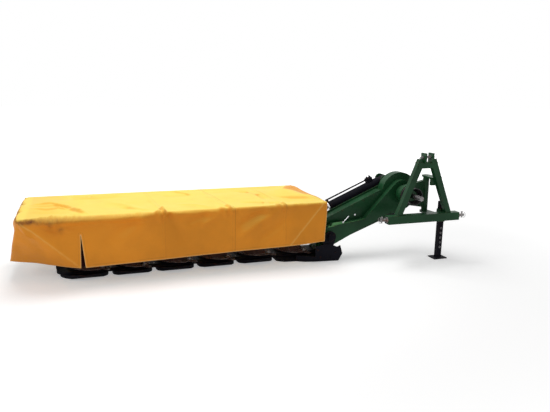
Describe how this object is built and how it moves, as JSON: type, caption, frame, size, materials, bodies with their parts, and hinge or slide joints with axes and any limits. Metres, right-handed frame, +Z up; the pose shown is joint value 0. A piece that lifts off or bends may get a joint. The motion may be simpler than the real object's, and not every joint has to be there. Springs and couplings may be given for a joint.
{
  "type": "disc mower",
  "caption": "Rear-mounted side disc mower with a low cutter bar, oval cutting discs, a lifting arm with hydraulic cylinder and a yellow tarpaulin cover.",
  "frame": {"origin": "bottom centre of the object's box, on the ground", "axes": "+X from the outer end of the bar towards the hitch's far side, +Y rearwards (away from the tractor), +Z up"},
  "size_m": [4.3116, 1.344, 1.11],
  "materials": {
    "green": "dark green paint, worn",
    "black": "black paint, dusty",
    "tarp": "coated cover cloth, yellow, weathered",
    "rust": "bare steel, rusted dark",
    "steel": "bare worn steel",
    "chrome": "hard chrome",
    "plastic": "black moulded plastic",
    "board": "yellow paint, scratched"
  },
  "bodies": {
    "headstock": {"headstock_frame": "green", "hitch_bar": "steel", "top_link_pin": "steel", "breakaway_latch": "black"},
    "stand": {"parking_stand": "black"},
    "swing_frame": {"swing_frame": "green", "cylinder_tower": "green", "cylinder_top_pin": "steel", "shaft_guard": "plastic"},
    "input_shaft": {"input_shaft": "steel"},
    "arm": {"arm_beam": "green", "belt_guard": "green", "arm_back_plate": "green", "rod_lug": "green"},
    "cylinder": {"cylinder_barrel": "black", "cylinder_pipe": "black", "cylinder_port_block": "black"},
    "cylinder_rod": {"cylinder_rod": "chrome"},
    "bar": {"cutter_bar": "black", "skids": "black", "inner_shoe": "black", "hinge_yoke": "black", "bevel_gearbox": "green", "middle_beam": "green", "rear_frame": "green", "inner_post": "green", "outer_post": "green", "cover_rear": "tarp"},
    "cover_lid": {"lid_frame": "green", "cover_front": "tarp"},
    "swath_board": {"swath_board": "board"},
    "disc_1": {"disc_1": "rust"},
    "disc_2": {"disc_2": "rust"},
    "disc_3": {"disc_3": "rust"},
    "disc_4": {"disc_4": "rust"},
    "disc_5": {"disc_5": "rust"},
    "disc_6": {"disc_6": "rust"}
  },
  "joints": [
    {"name": "stand_slide", "type": "slide", "parent": "headstock", "child": "stand", "axis": [0, 0, 1], "range_m": [0, 0.35]},
    {"name": "breakaway_swing", "type": "hinge", "parent": "headstock", "child": "swing_frame", "pos_m": [1.80825, -0.432, 0.66], "axis": [0, 0, -1], "range_deg": [0, 20]},
    {"name": "arm_lift", "type": "hinge", "parent": "swing_frame", "child": "arm", "pos_m": [1.60825, -0.252, 0.66], "axis": [0, 1, 0], "range_deg": [-6, 50]},
    {"name": "cylinder_swing", "type": "hinge", "parent": "swing_frame", "child": "cylinder", "pos_m": [1.49825, -0.077, 0.772], "axis": [0, 1, 0], "range_deg": [-7, 57]},
    {"name": "rod_slide", "type": "slide", "parent": "cylinder", "child": "cylinder_rod", "axis": [0.9189, 0, 0.3946], "range_m": [-0.015, 0.1]},
    {"name": "bar_pivot", "type": "hinge", "parent": "arm", "child": "bar", "pos_m": [0.78825, -0.252, 0.25], "axis": [0, 1, 0], "range_deg": [-20, 25]},
    {"name": "input_spin", "type": "hinge", "parent": "swing_frame", "child": "input_shaft", "pos_m": [1.60825, -0.452, 0.66], "axis": [0, 1, 0], "continuous": true},
    {"name": "lid_hinge", "type": "hinge", "parent": "bar", "child": "cover_lid", "pos_m": [-0.68175, 0.148, 0.6127], "axis": [-1, 0, 0], "range_deg": [0, 95]},
    {"name": "swath_swing", "type": "hinge", "parent": "bar", "child": "swath_board", "pos_m": [-1.83175, 0.198, 0.25], "axis": [0, 0, 1], "range_deg": [-15, 25], "stiffness_Nm_per_rad": 60},
    {"name": "disc_1_spin", "type": "hinge", "parent": "bar", "child": "disc_1", "pos_m": [-1.53175, -0.052, 0.08], "axis": [0, 0, 1], "continuous": true},
    {"name": "disc_2_spin", "type": "hinge", "parent": "bar", "child": "disc_2", "pos_m": [-1.13175, -0.052, 0.08], "axis": [0, 0, 1], "continuous": true},
    {"name": "disc_3_spin", "type": "hinge", "parent": "bar", "child": "disc_3", "pos_m": [-0.73175, -0.052, 0.08], "axis": [0, 0, 1], "continuous": true},
    {"name": "disc_4_spin", "type": "hinge", "parent": "bar", "child": "disc_4", "pos_m": [-0.33175, -0.052, 0.08], "axis": [0, 0, 1], "continuous": true},
    {"name": "disc_5_spin", "type": "hinge", "parent": "bar", "child": "disc_5", "pos_m": [0.06825, -0.052, 0.08], "axis": [0, 0, 1], "continuous": true},
    {"name": "disc_6_spin", "type": "hinge", "parent": "bar", "child": "disc_6", "pos_m": [0.46825, -0.052, 0.08], "axis": [0, 0, 1], "continuous": true}
  ],
  "couplings": [
    {"joint": "cylinder_swing", "follows": "arm_lift", "ratio": 1.12},
    {"joint": "rod_slide", "follows": "arm_lift", "m_per_rad": 0.10875},
    {"joint": "input_spin", "follows": "disc_1_spin", "ratio": 0.18},
    {"joint": "disc_2_spin", "follows": "disc_1_spin", "ratio": -1},
    {"joint": "disc_3_spin", "follows": "disc_1_spin", "ratio": 1},
    {"joint": "disc_4_spin", "follows": "disc_1_spin", "ratio": -1},
    {"joint": "disc_5_spin", "follows": "disc_1_spin", "ratio": 1},
    {"joint": "disc_6_spin", "follows": "disc_1_spin", "ratio": -1}
  ]
}
